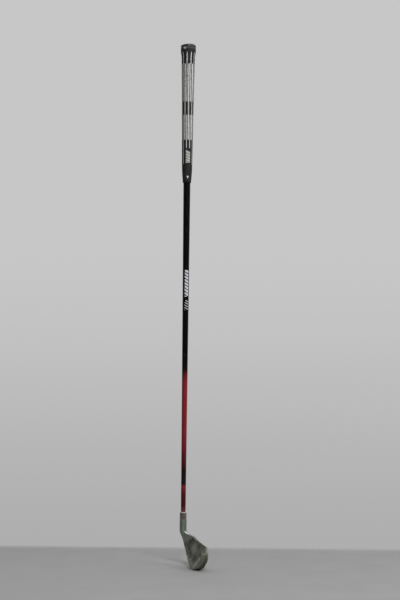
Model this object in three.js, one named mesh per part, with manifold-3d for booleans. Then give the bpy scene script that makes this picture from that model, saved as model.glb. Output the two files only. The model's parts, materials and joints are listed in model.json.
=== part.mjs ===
// A left-handed golf iron: a cast cavity-back head with a bent, offset neck, glued to a
// tapered graphite shaft that carries a rubber grip.
// Millimetres. Z is the shaft's axis with the butt up, X points to the toe and the face
// looks to -Y. The origin is the centre of the butt end.

import * as THREE from 'three';
import { mergeVertices } from 'three/addons/utils/BufferGeometryUtils.js';
import Module from 'manifold-3d';

const wasm = await Module();
wasm.setup();

// The whole club. Its length runs from the ground under the shaft's axis to the butt end.
const CLUB_LENGTH = 965;
const LIE = THREE.MathUtils.degToRad(61.5);
const LOFT = THREE.MathUtils.degToRad(29);

// Hosel, neck and the heel end of the blade
const HOSEL_TOP = 60;
const HOSEL_RADIUS = 6.5;
const HOSEL_CHAMFER = 0.6;
const NECK_RADIUS = 15;
const NECK_SETBACK_SHARE = 0.1;
const OFFSET = 8.5;
const HEEL_HEIGHT = 31.5;
const HEEL_RISE = 1.6;
const HEEL_UPPER_BLEND = 24;
const HEEL_LOWER_BLEND = 9;
const HEEL_SOLE_WIDTH = 15;

// Blade outline, measured in the plane of the face
const TOPLINE_SLOPE = THREE.MathUtils.degToRad(22);
const TOPLINE_BLEND = 7;
const SHOULDER_AT = 52;
const SHOULDER_BLEND = 8;
const TOE_AT = 78;
const TOE_HEIGHT = 29;
const TOE_UPPER_BLEND = 16;
const TOE_LOWER_BLEND = 16;
const SOLE_LOW_AT = 44;
const SOLE_LOW_BLEND = 24;
const HEEL_LOW_BLEND = 14;

// Blade thickness
const LEADING_EDGE_HEIGHT = 2.8;
const LEADING_EDGE_RADIUS = 2.4;
const TOPLINE_THICKNESS = 6.5;
const TOPLINE_EDGE_RADIUS = 1.4;
const TOE_THICKNESS = 11.5;
const TOE_EDGE_RADIUS = 1.4;
const SOLE_WIDTH = 21;
const SOLE_WIDTH_AT = 26;
const SOLE_DROP = 3.4;
const SOLE_CAMBER_RADIUS = 26;
const TRAILING_EDGE_RISE = 0.8;
const TRAILING_EDGE_RADIUS = 4;

// Cavity in the back
const FACE_THICKNESS = 3;
const CAVITY_HEEL_AT = 13;
const CAVITY_FILLET = 2;
const CAVITY_CORNER_RADIUS = 7;
const CAVITY_DRAFT = THREE.MathUtils.degToRad(6);
const SOLE_BAR_HEIGHT = 17;
const TOP_RIM = 7;
const TOE_RIM = 9;

// Score lines
const SCORE_COUNT = 12;
const SCORE_PITCH = 3.6;
const SCORE_WIDTH = 0.9;
const SCORE_FLOOR_WIDTH = 0.6;
const SCORE_DEPTH = 0.5;
const SCORE_FIRST_AT = 6.5;
const SCORE_HEEL_AT = 13;
const SCORE_TOE_AT = 62;
const SCORE_MARGIN = 4;

// Shaft, and what joins it to the head
const BUTT_RADIUS = 7.62;
const TIP_RADIUS = 4.5;
const BUTT_BORE_RADIUS = 6;
const TIP_BORE_RADIUS = 2.4;
const INSERTION = 21;
const BOND_THICKNESS = 0.2;
const BOND_FLOOR = 0.8;
const FERRULE_HEIGHT = 14;
const FERRULE_RADIUS = 6.3;
const FERRULE_SHOULDER_RADIUS = 0.8;
const FERRULE_FLARE_HEIGHT = 3;
const WEIGHT_FLANGE_THICKNESS = 1.2;
const WEIGHT_LENGTH = 20;
const WEIGHT_NOSE = 2;
const DRILL_POINT = THREE.MathUtils.degToRad(59);

// Grip, its tape and its butt cap
const GRIP_LENGTH = 265;
const CAP_RADIUS = 14.4;
const CAP_FLAT_RADIUS = 8;
const CAP_CROWN = 3.4;
const CAP_HEIGHT = 6;
const CAP_EDGE_RADIUS = 0.5;
const CAP_SPIGOT_LENGTH = 9;
const VENT_RADIUS = 1.5;
const FLANGE_END = 12;
const THROAT_AT = 27;
const THROAT_RADIUS = 12.6;
const MIDDLE_AT = 113;
const MIDDLE_RADIUS = 11.2;
const LOWER_AT = 230;
const LOWER_RADIUS = 9.85;
const MOUTH_RADIUS = 7.9;
const MOUTH_EDGE_RADIUS = 0.5;
const TAPE_THICKNESS = 0.3;
const TAPE_SETBACK = 4;

// Fits and cuts
const SLIP = 0.06;
const SEAT = 0.1;
const SPIGOT_CLEARANCE = 0.3;
const OVERRUN = 5;

// Facets
const ROUND_STEPS = 48;
const NECK_STEPS = 16;
const BLADE_STEPS = 9;
const TOE_STEPS = 16;
const CURVE_STEPS = 5;
const EDGE_STEPS = 4;
const SEARCH_STEPS = 40;

// Directions. TOEWARD runs along the ground, UPRIGHT stands square to it, UP_FACE climbs
// the face and INTO_FACE points through it to the back.
const TOEWARD = new THREE.Vector3(Math.sin(LIE), 0, -Math.cos(LIE));
const UPRIGHT = new THREE.Vector3(Math.cos(LIE), 0, Math.sin(LIE));
const BACKWARD = new THREE.Vector3(0, 1, 0);
const UP_FACE = new THREE.Vector3()
  .addScaledVector(UPRIGHT, Math.cos(LOFT))
  .addScaledVector(BACKWARD, Math.sin(LOFT));
const INTO_FACE = new THREE.Vector3()
  .addScaledVector(BACKWARD, Math.cos(LOFT))
  .addScaledVector(UPRIGHT, -Math.sin(LOFT));

// Closed bodies from rings, turned profiles and extrusions

// Merges the corners that meet, drops the triangles that collapse and turns the faces out.
function closed(geometry) {
  const bare = geometry.clone();
  bare.deleteAttribute('normal');
  bare.deleteAttribute('uv');
  const welded = mergeVertices(bare);
  const source = welded.index.array;
  const kept = [];
  for (let i = 0; i < source.length; i += 3) {
    const [a, b, c] = source.slice(i, i + 3);
    if (a !== b && b !== c && c !== a) {
      kept.push(a, b, c);
    }
  }
  const position = welded.attributes.position;
  const [p, q, r] = [new THREE.Vector3(), new THREE.Vector3(), new THREE.Vector3()];
  let volume = 0;
  for (let i = 0; i < kept.length; i += 3) {
    p.fromBufferAttribute(position, kept[i]);
    q.fromBufferAttribute(position, kept[i + 1]);
    r.fromBufferAttribute(position, kept[i + 2]);
    volume += p.dot(q.cross(r));
  }
  welded.setIndex(volume < 0 ? kept.reverse() : kept);
  return welded;
}

// Joins rings of equal count into a skin, with a fan over each end.
function skin(rings) {
  const count = rings[0].length;
  const middle = (ring) => {
    const sum = ring.reduce((total, point) => total.add(point), new THREE.Vector3());
    return sum.divideScalar(ring.length);
  };
  const points = [...rings.flat(), middle(rings[0]), middle(rings.at(-1))];
  const firstHub = rings.length * count;
  const lastHub = firstHub + 1;
  const lastRing = (rings.length - 1) * count;
  const index = [];
  for (let k = 0; k < count; k += 1) {
    const next = (k + 1) % count;
    for (let row = 0; row < lastRing; row += count) {
      index.push(row + k, row + next, row + count + k);
      index.push(row + next, row + count + next, row + count + k);
    }
    index.push(firstHub, next, k);
    index.push(lastHub, lastRing + k, lastRing + next);
  }
  const geometry = new THREE.BufferGeometry().setFromPoints(points);
  geometry.setIndex(index);
  return closed(geometry);
}

// Turns a profile of (radius, height) points about Z.
function turned(points) {
  return closed(new THREE.LatheGeometry(points, ROUND_STEPS).rotateX(Math.PI / 2));
}

function solid(geometry) {
  return new wasm.Manifold(new wasm.Mesh({
    numProp: 3,
    vertProperties: new Float32Array(geometry.attributes.position.array),
    triVerts: new Uint32Array(geometry.index.array),
  }));
}

function surface(body) {
  const mesh = body.getMesh();
  const geometry = new THREE.BufferGeometry();
  geometry.setAttribute('position', new THREE.BufferAttribute(mesh.vertProperties, 3));
  geometry.setIndex(new THREE.BufferAttribute(mesh.triVerts, 1));
  return geometry;
}

// Rounds the corners of a polygon. Each corner is { at, radius, steps }, and no fillet
// takes more than half of an edge beside it.
function rounded(corners) {
  return corners.flatMap(({ at, radius, steps }, k) => {
    const before = corners.at(k - 1).at.clone().sub(at);
    const after = corners[(k + 1) % corners.length].at.clone().sub(at);
    const room = Math.min(before.length(), after.length()) / 2;
    before.normalize();
    after.normalize();
    const half = Math.acos(THREE.MathUtils.clamp(before.dot(after), -1, 1)) / 2;
    const fillet = Math.min(radius, room * Math.tan(half));
    const centre = before.clone().add(after).setLength(fillet / Math.sin(half)).add(at);
    const start = before.clone().multiplyScalar(fillet / Math.tan(half)).add(at);
    const turn = Math.sign(before.cross(after)) * (2 * half - Math.PI);
    return Array.from({ length: steps + 1 }, (_, i) =>
      start.clone().rotateAround(centre, (turn * i) / steps));
  });
}

// Splits the straight edge after each rounded corner, so that long edges can twist.
function divided(points, corners) {
  let last = -1;
  return corners.flatMap(({ steps, edgeSteps }) => {
    const arc = points.slice(last + 1, last + 2 + steps);
    last += steps + 1;
    const next = points[(last + 1) % points.length];
    for (let i = 1; i < edgeSteps; i += 1) {
      arc.push(points[last].clone().lerp(next, i / edgeSteps));
    }
    return arc;
  });
}

const mix = THREE.MathUtils.lerp;

// Blade outline in the plane of the face: x runs to the toe, y climbs from the leading edge

const neckCentreX = HOSEL_RADIUS + NECK_RADIUS;
const neckCentreZ = (HEEL_HEIGHT + NECK_RADIUS - neckCentreX * Math.cos(LIE)) / Math.sin(LIE);
const neckCentre = new THREE.Vector3(neckCentreX, 0, neckCentreZ);
const bladeStart = neckCentre.dot(TOEWARD);
const leadingEdgeY = OFFSET - HOSEL_RADIUS;
const heelFaceHeight = (HEEL_HEIGHT - LEADING_EDGE_HEIGHT) / Math.cos(LOFT);

function bezier(...points) {
  return new THREE.CubicBezierCurve(...points.map(([x, y]) => new THREE.Vector2(x, y)));
}

const shoulderHeight = heelFaceHeight
  + (SHOULDER_AT - bladeStart - TOPLINE_BLEND / 2) * Math.tan(TOPLINE_SLOPE);
const slope = [Math.cos(TOPLINE_SLOPE), Math.sin(TOPLINE_SLOPE)];
const topline = bezier(
  [bladeStart, heelFaceHeight],
  [bladeStart + TOPLINE_BLEND, heelFaceHeight],
  [SHOULDER_AT - TOPLINE_BLEND * slope[0], shoulderHeight - TOPLINE_BLEND * slope[1]],
  [SHOULDER_AT, shoulderHeight],
);
const upperToe = bezier(
  [SHOULDER_AT, shoulderHeight],
  [SHOULDER_AT + SHOULDER_BLEND * slope[0], shoulderHeight + SHOULDER_BLEND * slope[1]],
  [TOE_AT, TOE_HEIGHT + TOE_UPPER_BLEND],
  [TOE_AT, TOE_HEIGHT],
);
const heelSole = bezier(
  [bladeStart, HEEL_RISE],
  [bladeStart + HEEL_LOW_BLEND, HEEL_RISE],
  [SOLE_LOW_AT - HEEL_LOW_BLEND, 0],
  [SOLE_LOW_AT, 0],
);
const lowerToe = bezier(
  [SOLE_LOW_AT, 0],
  [SOLE_LOW_AT + SOLE_LOW_BLEND, 0],
  [TOE_AT, TOE_HEIGHT - TOE_LOWER_BLEND],
  [TOE_AT, TOE_HEIGHT],
);

// Height of a curve where it passes a place along the blade, by halving.
function heightAt(curve, along) {
  let low = 0;
  let high = 1;
  for (let i = 0; i < SEARCH_STEPS; i += 1) {
    const middle = (low + high) / 2;
    if (curve.getPoint(middle).x < along) {
      low = middle;
    } else {
      high = middle;
    }
  }
  return curve.getPoint(low).y;
}

const topAt = (along) => heightAt(along < SHOULDER_AT ? topline : upperToe, along);
const soleAt = (along) => heightAt(along < SOLE_LOW_AT ? heelSole : lowerToe, along);

// Head sections: five corners each, as (height, depth) in the plane of the section. They
// run from the topline's front round the back and the sole to the leading edge.

const CORNER_STEPS_SHARES = [1 / 4, 1 / 4, 3 / 16, 1 / 8, 3 / 16];
const cornerSteps = CORNER_STEPS_SHARES.map((share) => share * ROUND_STEPS);
const edgeSteps = [1, EDGE_STEPS, 1, 1, EDGE_STEPS];

// The hosel's circle, as the corners of a polygon drawn round it.
function hoselCorners(radius) {
  let heading = -Math.PI / 2;
  return cornerSteps.map((steps, k) => {
    const sweep = (2 * Math.PI * steps) / ROUND_STEPS;
    const bearing = heading + sweep / 2;
    heading += sweep;
    const reach = radius / Math.cos(sweep / 2);
    const at = new THREE.Vector2(reach * Math.cos(bearing), reach * Math.sin(bearing));
    return { at, radius, steps, edgeSteps: edgeSteps[k] };
  });
}

// A point of the blade's section, from its height up the face and its depth behind it.
function sectionPoint(height, depth) {
  return new THREE.Vector2(
    LEADING_EDGE_HEIGHT + height * Math.cos(LOFT) - depth * Math.sin(LOFT),
    leadingEdgeY + height * Math.sin(LOFT) + depth * Math.cos(LOFT),
  );
}

function bladeCorners(along) {
  const top = topAt(along);
  const sole = soleAt(along);
  const topToe = (shoulderHeight - top) / (shoulderHeight - TOE_HEIGHT);
  const toTip = THREE.MathUtils.smoothstep(along, SHOULDER_AT, TOE_AT);
  const thickening = along < SHOULDER_AT ? 0 : Math.max(0, topToe, toTip * toTip);
  const thickness = mix(TOPLINE_THICKNESS, TOE_THICKNESS, thickening);
  const soleToe = along < SOLE_LOW_AT ? 0 : sole / TOE_HEIGHT;
  const nearTip = Math.max(0, 1 - (TOE_AT - along) / TOE_EDGE_RADIUS);
  const inset = TOE_EDGE_RADIUS * (1 - Math.sqrt(1 - nearTip * nearTip));
  const widening = THREE.MathUtils.smoothstep(along, bladeStart, SOLE_WIDTH_AT);
  const width = mix(HEEL_SOLE_WIDTH, SOLE_WIDTH, widening);

  const tipBack = new THREE.Vector2(-Math.sin(LOFT), Math.cos(LOFT)).multiplyScalar(TOE_THICKNESS);
  const toTrailing = new THREE.Vector2(TRAILING_EDGE_RISE, width).lerp(tipBack, soleToe);
  const toCamber = new THREE.Vector2(-SOLE_DROP, width / 2)
    .lerp(tipBack.clone().divideScalar(2), soleToe);
  const insetShift = new THREE.Vector2(-Math.sin(LOFT), Math.cos(LOFT)).multiplyScalar(inset);

  const front = sectionPoint(top, 0).add(insetShift);
  const back = sectionPoint(top, thickness).sub(insetShift);
  const leading = sectionPoint(sole, 0).add(insetShift);
  const camber = sectionPoint(sole, 0).add(toCamber);
  const trailing = sectionPoint(sole, 0).add(toTrailing).sub(insetShift);
  const radii = [
    TOPLINE_EDGE_RADIUS,
    TOPLINE_EDGE_RADIUS,
    TRAILING_EDGE_RADIUS,
    SOLE_CAMBER_RADIUS,
    LEADING_EDGE_RADIUS,
  ];
  return [front, back, trailing, camber, leading].map((at, k) => ({
    at,
    radius: radii[k],
    steps: cornerSteps[k],
    edgeSteps: edgeSteps[k],
  }));
}

// Places a section's corners in space, its heights running along the given direction.
function ring(corners, origin, heightward) {
  return divided(rounded(corners), corners).map(({ x, y }) => origin.clone()
    .addScaledVector(heightward, x)
    .addScaledVector(BACKWARD, y));
}

function hoselRing(height, radius) {
  return ring(hoselCorners(radius), new THREE.Vector3(0, 0, height), new THREE.Vector3(1, 0, 0));
}

// Outside of the heel, from the hosel's side down and round to the sole, seen along Y.
const heelSoleFoot = TOEWARD.clone().multiplyScalar(bladeStart)
  .addScaledVector(UPRIGHT, LEADING_EDGE_HEIGHT + HEEL_RISE * Math.cos(LOFT));
const heelContour = bezier(
  [-HOSEL_RADIUS, neckCentreZ],
  [-HOSEL_RADIUS, neckCentreZ - HEEL_UPPER_BLEND],
  [
    heelSoleFoot.x - TOEWARD.x * HEEL_LOWER_BLEND,
    heelSoleFoot.z - TOEWARD.z * HEEL_LOWER_BLEND,
  ],
  [heelSoleFoot.x, heelSoleFoot.z],
);

// Distance from neckCentre to the outside of the heel, at an angle below the hosel's side.
function heelReach(angle) {
  let low = 0;
  let high = 1;
  for (let i = 0; i < SEARCH_STEPS; i += 1) {
    const middle = (low + high) / 2;
    const { x, y } = heelContour.getPoint(middle);
    if (Math.atan2(neckCentreZ - y, neckCentreX - x) < angle) {
      low = middle;
    } else {
      high = middle;
    }
  }
  return heelContour.getPoint(low).distanceTo(new THREE.Vector2(neckCentreX, neckCentreZ));
}

// The neck turns the sections about neckCentre, from the hosel's circle to the blade's heel.
// A corner's height is a share of the section's height, so that it follows heelContour.
function neckRing(share) {
  const angle = LIE * share;
  const late = THREE.MathUtils.smoothstep(share, NECK_SETBACK_SHARE, 1);
  const heelCorners = bladeCorners(bladeStart);
  const heelTop = heelCorners[0].at.x;
  const heelSpan = heelTop - heelCorners.at(-1).at.x;
  const span = heelReach(angle) - NECK_RADIUS;
  const corners = hoselCorners(HOSEL_RADIUS).map((corner, k) => {
    const heel = heelCorners[k];
    const hoselShare = (HOSEL_RADIUS - corner.at.x) / (2 * HOSEL_RADIUS);
    const heelShare = (heelTop - heel.at.x) / heelSpan;
    const at = new THREE.Vector2(
      -NECK_RADIUS - span * mix(hoselShare, heelShare, late),
      mix(corner.at.y, heel.at.y, late),
    );
    return { ...corner, at, radius: mix(corner.radius, heel.radius, late) };
  });
  return ring(corners, neckCentre, new THREE.Vector3(Math.cos(angle), 0, Math.sin(angle)));
}

function bladeRing(along) {
  return ring(bladeCorners(along), TOEWARD.clone().multiplyScalar(along), UPRIGHT);
}

function headBody() {
  const rings = [
    hoselRing(HOSEL_TOP, HOSEL_RADIUS - HOSEL_CHAMFER),
    hoselRing(HOSEL_TOP - HOSEL_CHAMFER, HOSEL_RADIUS),
  ];
  for (let i = 0; i <= NECK_STEPS; i += 1) {
    rings.push(neckRing(i / NECK_STEPS));
  }
  for (let i = 1; i <= BLADE_STEPS; i += 1) {
    rings.push(bladeRing(mix(bladeStart, SHOULDER_AT, i / BLADE_STEPS)));
  }
  for (let i = 1; i < TOE_STEPS; i += 1) {
    const share = Math.sin((i / TOE_STEPS) * (Math.PI / 2));
    rings.push(bladeRing(mix(SHOULDER_AT, TOE_AT, share)));
  }
  return skin(rings);
}

// Hollow for the back. Its floor runs parallel to the face, and its walls open outwards.
function cavityCut() {
  const toeHighAt = (SHOULDER_AT + TOE_AT) / 2;
  const outline = [
    [CAVITY_HEEL_AT, SOLE_BAR_HEIGHT],
    [toeHighAt, SOLE_BAR_HEIGHT],
    [TOE_AT - TOE_RIM, TOE_HEIGHT],
    [toeHighAt - TOE_RIM / 2, topAt(toeHighAt) - TOP_RIM],
    [SHOULDER_AT - TOE_RIM / 2, topAt(SHOULDER_AT - TOE_RIM / 2) - TOP_RIM],
    [CAVITY_HEEL_AT, topAt(CAVITY_HEEL_AT) - TOP_RIM],
  ].map(([x, y]) => new THREE.Vector2(x, y));
  const level = (depth, inset) => {
    const shrunk = outline.map((at, k) => {
      const before = outline.at(k - 1).clone().sub(at).normalize();
      const after = outline[(k + 1) % outline.length].clone().sub(at).normalize();
      const half = Math.acos(before.dot(after)) / 2;
      const inward = before.add(after).setLength(Math.abs(inset) / Math.sin(half));
      return at.clone().addScaledVector(inward, Math.sign(inset));
    });
    const corners = shrunk.map((at) => ({ at, radius: CAVITY_CORNER_RADIUS, steps: CURVE_STEPS }));
    return rounded(corners).map(({ x, y }) => facePoint(x, y, depth));
  };
  const rings = [];
  for (let i = 0; i <= CURVE_STEPS; i += 1) {
    const angle = (i / CURVE_STEPS) * (Math.PI / 2);
    const depth = FACE_THICKNESS + CAVITY_FILLET * (1 - Math.cos(angle));
    rings.push(level(depth, CAVITY_FILLET * (1 - Math.sin(angle))));
  }
  const wall = SOLE_WIDTH + OVERRUN;
  rings.push(level(FACE_THICKNESS + CAVITY_FILLET + wall, -wall * Math.tan(CAVITY_DRAFT)));
  return solid(skin(rings));
}

// A place on the face, or behind it by the depth.
function facePoint(along, height, depth) {
  return new THREE.Vector3()
    .addScaledVector(UPRIGHT, LEADING_EDGE_HEIGHT)
    .addScaledVector(BACKWARD, leadingEdgeY)
    .addScaledVector(TOEWARD, along)
    .addScaledVector(UP_FACE, height)
    .addScaledVector(INTO_FACE, depth);
}

// Score lines. Those that would run out over the sloping topline start later.
function scoreCuts() {
  const profile = new THREE.Shape([
    new THREE.Vector2(-OVERRUN, SCORE_WIDTH / 2),
    new THREE.Vector2(-OVERRUN, -SCORE_WIDTH / 2),
    new THREE.Vector2(0, -SCORE_WIDTH / 2),
    new THREE.Vector2(SCORE_DEPTH, -SCORE_FLOOR_WIDTH / 2),
    new THREE.Vector2(SCORE_DEPTH, SCORE_FLOOR_WIDTH / 2),
    new THREE.Vector2(0, SCORE_WIDTH / 2),
  ]);
  return Array.from({ length: SCORE_COUNT }, (_, k) => {
    const height = SCORE_FIRST_AT + k * SCORE_PITCH;
    const clear = (height + SCORE_MARGIN - heelFaceHeight) / Math.tan(TOPLINE_SLOPE);
    const start = Math.max(SCORE_HEEL_AT, bladeStart + TOPLINE_BLEND / 2 + clear);
    const line = new THREE.ExtrudeGeometry(profile, {
      depth: SCORE_TOE_AT - start,
      bevelEnabled: false,
    });
    const place = new THREE.Matrix4().makeBasis(INTO_FACE, UP_FACE, TOEWARD);
    place.setPosition(facePoint(start, height, 0));
    return solid(closed(line.applyMatrix4(place)));
  });
}

// Bore for the shaft, with a drill point below its end and a chamfered mouth.

const boreRadius = TIP_RADIUS + SLIP + BOND_THICKNESS + SLIP;
const tipHeight = HOSEL_TOP - INSERTION;
const boreFloor = tipHeight - SEAT - WEIGHT_FLANGE_THICKNESS - SEAT - BOND_FLOOR - SEAT;
const drillPoint = boreRadius / Math.tan(DRILL_POINT);

function boreCut() {
  return solid(turned([
    new THREE.Vector2(0, boreFloor - drillPoint),
    new THREE.Vector2(boreRadius, boreFloor),
    new THREE.Vector2(boreRadius, HOSEL_TOP - HOSEL_CHAMFER),
    new THREE.Vector2(boreRadius + HOSEL_CHAMFER, HOSEL_TOP),
    new THREE.Vector2(boreRadius + HOSEL_CHAMFER, HOSEL_TOP + OVERRUN),
    new THREE.Vector2(0, HOSEL_TOP + OVERRUN),
  ]));
}

function headGeometry() {
  const cuts = [cavityCut(), boreCut(), ...scoreCuts()];
  const body = cuts.reduce((rest, cut) => rest.subtract(cut), solid(headBody()));
  return surface(body);
}

// Epoxy that fills the bore round the shaft and below the tip weight.
function epoxyGeometry() {
  const outer = boreRadius - SLIP;
  const inner = TIP_RADIUS + SLIP;
  const floor = boreFloor + SEAT;
  const cupFloor = floor + BOND_FLOOR;
  const rim = HOSEL_TOP - HOSEL_CHAMFER;
  return turned([
    new THREE.Vector2(0, floor),
    new THREE.Vector2(outer, floor),
    new THREE.Vector2(outer, rim),
    new THREE.Vector2(inner, rim),
    new THREE.Vector2(inner, cupFloor),
    new THREE.Vector2(0, cupFloor),
  ]);
}

// Stepped swing weight: its shank slides up the shaft's bore, its flange closes the tip.
function weightGeometry() {
  const shank = TIP_BORE_RADIUS - SLIP;
  const top = tipHeight + WEIGHT_LENGTH;
  const flangeTop = tipHeight - SEAT;
  return turned([
    new THREE.Vector2(0, flangeTop - WEIGHT_FLANGE_THICKNESS),
    new THREE.Vector2(TIP_RADIUS, flangeTop - WEIGHT_FLANGE_THICKNESS),
    new THREE.Vector2(TIP_RADIUS, flangeTop),
    new THREE.Vector2(shank, flangeTop),
    new THREE.Vector2(shank, top - WEIGHT_NOSE),
    new THREE.Vector2(shank - WEIGHT_NOSE / 2, top),
    new THREE.Vector2(0, top),
  ]);
}

// Ferrule: flush with the hosel at its foot, with a rounded shoulder round the shaft.
function ferruleGeometry() {
  const foot = HOSEL_TOP + SEAT;
  const head = foot + FERRULE_HEIGHT;
  const bore = TIP_RADIUS + SLIP;
  const profile = new THREE.Path();
  profile.moveTo(bore, foot);
  profile.lineTo(HOSEL_RADIUS - HOSEL_CHAMFER / 2, foot);
  profile.lineTo(HOSEL_RADIUS, foot + HOSEL_CHAMFER / 2);
  profile.lineTo(FERRULE_RADIUS, foot + FERRULE_FLARE_HEIGHT);
  profile.lineTo(FERRULE_RADIUS, head - FERRULE_SHOULDER_RADIUS);
  profile.absarc(
    FERRULE_RADIUS - FERRULE_SHOULDER_RADIUS,
    head - FERRULE_SHOULDER_RADIUS,
    FERRULE_SHOULDER_RADIUS,
    0,
    Math.PI / 2,
    false,
  );
  profile.lineTo(bore, head);
  profile.lineTo(bore, foot);
  return turned(profile.getPoints(CURVE_STEPS));
}

// Shaft, tape, grip and cap, measured down from the butt end

const shaftTop = -(CAP_HEIGHT + SEAT);
const shaftTip = tipHeight - CLUB_LENGTH;
const taperEnd = HOSEL_TOP + SEAT + FERRULE_HEIGHT - CLUB_LENGTH;
const mouth = -GRIP_LENGTH;

function shaftRadiusAt(height) {
  return THREE.MathUtils.mapLinear(height, shaftTop, taperEnd, BUTT_RADIUS, TIP_RADIUS);
}

function shaftGeometry() {
  return turned([
    new THREE.Vector2(TIP_BORE_RADIUS, shaftTip),
    new THREE.Vector2(TIP_RADIUS, shaftTip),
    new THREE.Vector2(TIP_RADIUS, taperEnd),
    new THREE.Vector2(BUTT_RADIUS, shaftTop),
    new THREE.Vector2(BUTT_BORE_RADIUS, shaftTop),
    new THREE.Vector2(TIP_BORE_RADIUS, taperEnd),
    new THREE.Vector2(TIP_BORE_RADIUS, shaftTip),
  ]);
}

const tapeInner = (height) => shaftRadiusAt(height) + SLIP;
const tapeOuter = (height) => tapeInner(height) + TAPE_THICKNESS;

function tapeGeometry() {
  const foot = mouth + TAPE_SETBACK;
  return turned([
    new THREE.Vector2(tapeInner(foot), foot),
    new THREE.Vector2(tapeOuter(foot), foot),
    new THREE.Vector2(tapeOuter(shaftTop), shaftTop),
    new THREE.Vector2(tapeInner(shaftTop), shaftTop),
    new THREE.Vector2(tapeInner(foot), foot),
  ]);
}

// Grip sleeve: a flange under the cap, a throat, a long taper and a rounded mouth.
function gripGeometry() {
  const bore = (height) => tapeOuter(height) + SLIP;
  const flangeSpan = (THROAT_AT - FLANGE_END) / 2;
  const taperSpan = (LOWER_AT - MIDDLE_AT) / 3;
  const lowerSlope = (MIDDLE_RADIUS - LOWER_RADIUS) / (LOWER_AT - MIDDLE_AT);
  const throatSpan = (MIDDLE_AT - THROAT_AT) / 3;
  const mouthSpan = (GRIP_LENGTH - LOWER_AT) / 2;
  const profile = new THREE.Path();
  profile.moveTo(bore(shaftTop), shaftTop);
  profile.lineTo(CAP_RADIUS - CAP_EDGE_RADIUS, shaftTop);
  profile.lineTo(CAP_RADIUS, shaftTop - CAP_EDGE_RADIUS);
  profile.lineTo(CAP_RADIUS, -FLANGE_END);
  profile.bezierCurveTo(
    CAP_RADIUS, -FLANGE_END - flangeSpan,
    THROAT_RADIUS + lowerSlope * flangeSpan, -THROAT_AT + flangeSpan,
    THROAT_RADIUS, -THROAT_AT,
  );
  profile.bezierCurveTo(
    THROAT_RADIUS - lowerSlope * throatSpan, -THROAT_AT - throatSpan,
    MIDDLE_RADIUS + lowerSlope * throatSpan, -MIDDLE_AT + throatSpan,
    MIDDLE_RADIUS, -MIDDLE_AT,
  );
  profile.bezierCurveTo(
    MIDDLE_RADIUS - lowerSlope * taperSpan, -MIDDLE_AT - taperSpan,
    LOWER_RADIUS + lowerSlope * taperSpan, -LOWER_AT + taperSpan,
    LOWER_RADIUS, -LOWER_AT,
  );
  profile.bezierCurveTo(
    LOWER_RADIUS - lowerSlope * mouthSpan, -LOWER_AT - mouthSpan,
    MOUTH_RADIUS + MOUTH_EDGE_RADIUS, mouth + MOUTH_EDGE_RADIUS + mouthSpan / 2,
    MOUTH_RADIUS, mouth + MOUTH_EDGE_RADIUS,
  );
  profile.lineTo(MOUTH_RADIUS - MOUTH_EDGE_RADIUS, mouth);
  profile.lineTo(bore(mouth), mouth);
  profile.lineTo(bore(shaftTop), shaftTop);
  return turned(profile.getPoints(CURVE_STEPS));
}

// Butt cap: a crowned button with a flat middle, a vent hole and a spigot in the shaft.
function capGeometry() {
  const spigot = BUTT_BORE_RADIUS - SPIGOT_CLEARANCE;
  const crownReach = CAP_RADIUS - CAP_FLAT_RADIUS;
  const profile = new THREE.Path();
  profile.moveTo(VENT_RADIUS, 0);
  profile.lineTo(CAP_FLAT_RADIUS, 0);
  profile.bezierCurveTo(
    CAP_FLAT_RADIUS + crownReach / 2, 0,
    CAP_RADIUS, -CAP_CROWN / 2,
    CAP_RADIUS, -CAP_CROWN,
  );
  profile.lineTo(CAP_RADIUS, -CAP_HEIGHT + CAP_EDGE_RADIUS);
  profile.lineTo(CAP_RADIUS - CAP_EDGE_RADIUS, -CAP_HEIGHT);
  profile.lineTo(spigot, -CAP_HEIGHT);
  profile.lineTo(spigot, -CAP_HEIGHT - CAP_SPIGOT_LENGTH);
  profile.lineTo(VENT_RADIUS, -CAP_HEIGHT - CAP_SPIGOT_LENGTH);
  profile.lineTo(VENT_RADIUS, 0);
  return turned(profile.getPoints(CURVE_STEPS));
}

// Finishes
const steel = { color: 0x5f5f5c, roughness: 0.42, metalness: 0.9 };
const blackPlastic = { color: 0x141414, roughness: 0.3, metalness: 0 };
const graphite = { color: 0x6d2228, roughness: 0.2, metalness: 0.1 };
const rubber = { color: 0x1b1b1c, roughness: 0.85, metalness: 0 };
const tape = { color: 0xcdbf9b, roughness: 0.9, metalness: 0 };
const epoxy = { color: 0xb9a46a, roughness: 0.35, metalness: 0 };
const brass = { color: 0xb08d4c, roughness: 0.35, metalness: 1 };

function part(name, geometry, finish) {
  const mesh = new THREE.Mesh(geometry, new THREE.MeshStandardMaterial(finish));
  mesh.name = name;
  return mesh;
}

// The head's pieces are placed from the ground point under the shaft's axis.
const headEnd = new THREE.Group();
headEnd.position.z = -CLUB_LENGTH;
headEnd.add(
  part('club_head', headGeometry(), steel),
  part('hosel_epoxy', epoxyGeometry(), epoxy),
  part('tip_weight', weightGeometry(), brass),
  part('ferrule', ferruleGeometry(), blackPlastic),
);

const golfIron = new THREE.Group();
golfIron.add(
  headEnd,
  part('shaft', shaftGeometry(), graphite),
  part('grip_tape', tapeGeometry(), tape),
  part('grip', gripGeometry(), rubber),
  part('butt_cap', capGeometry(), rubber),
);

export default golfIron;
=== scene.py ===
# %% [markdown]
# # A golf iron, dressed for its portrait
#
# The club arrives from CAD as eight solids: head, ferrule, shaft, grip, butt cap, and three
# pieces sealed inside. Their sizes and places are settled, so this lesson is about looks: worn
# cast steel, clear-coated paint that fades from black to red, and a moulded rubber grip with
# painted grooves. Each step first says what the real thing is like and then how it is made.

# %% Load the frame
import json
import math

import bmesh
import bpy
import numpy as np
from mathutils import Matrix, Vector


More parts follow.
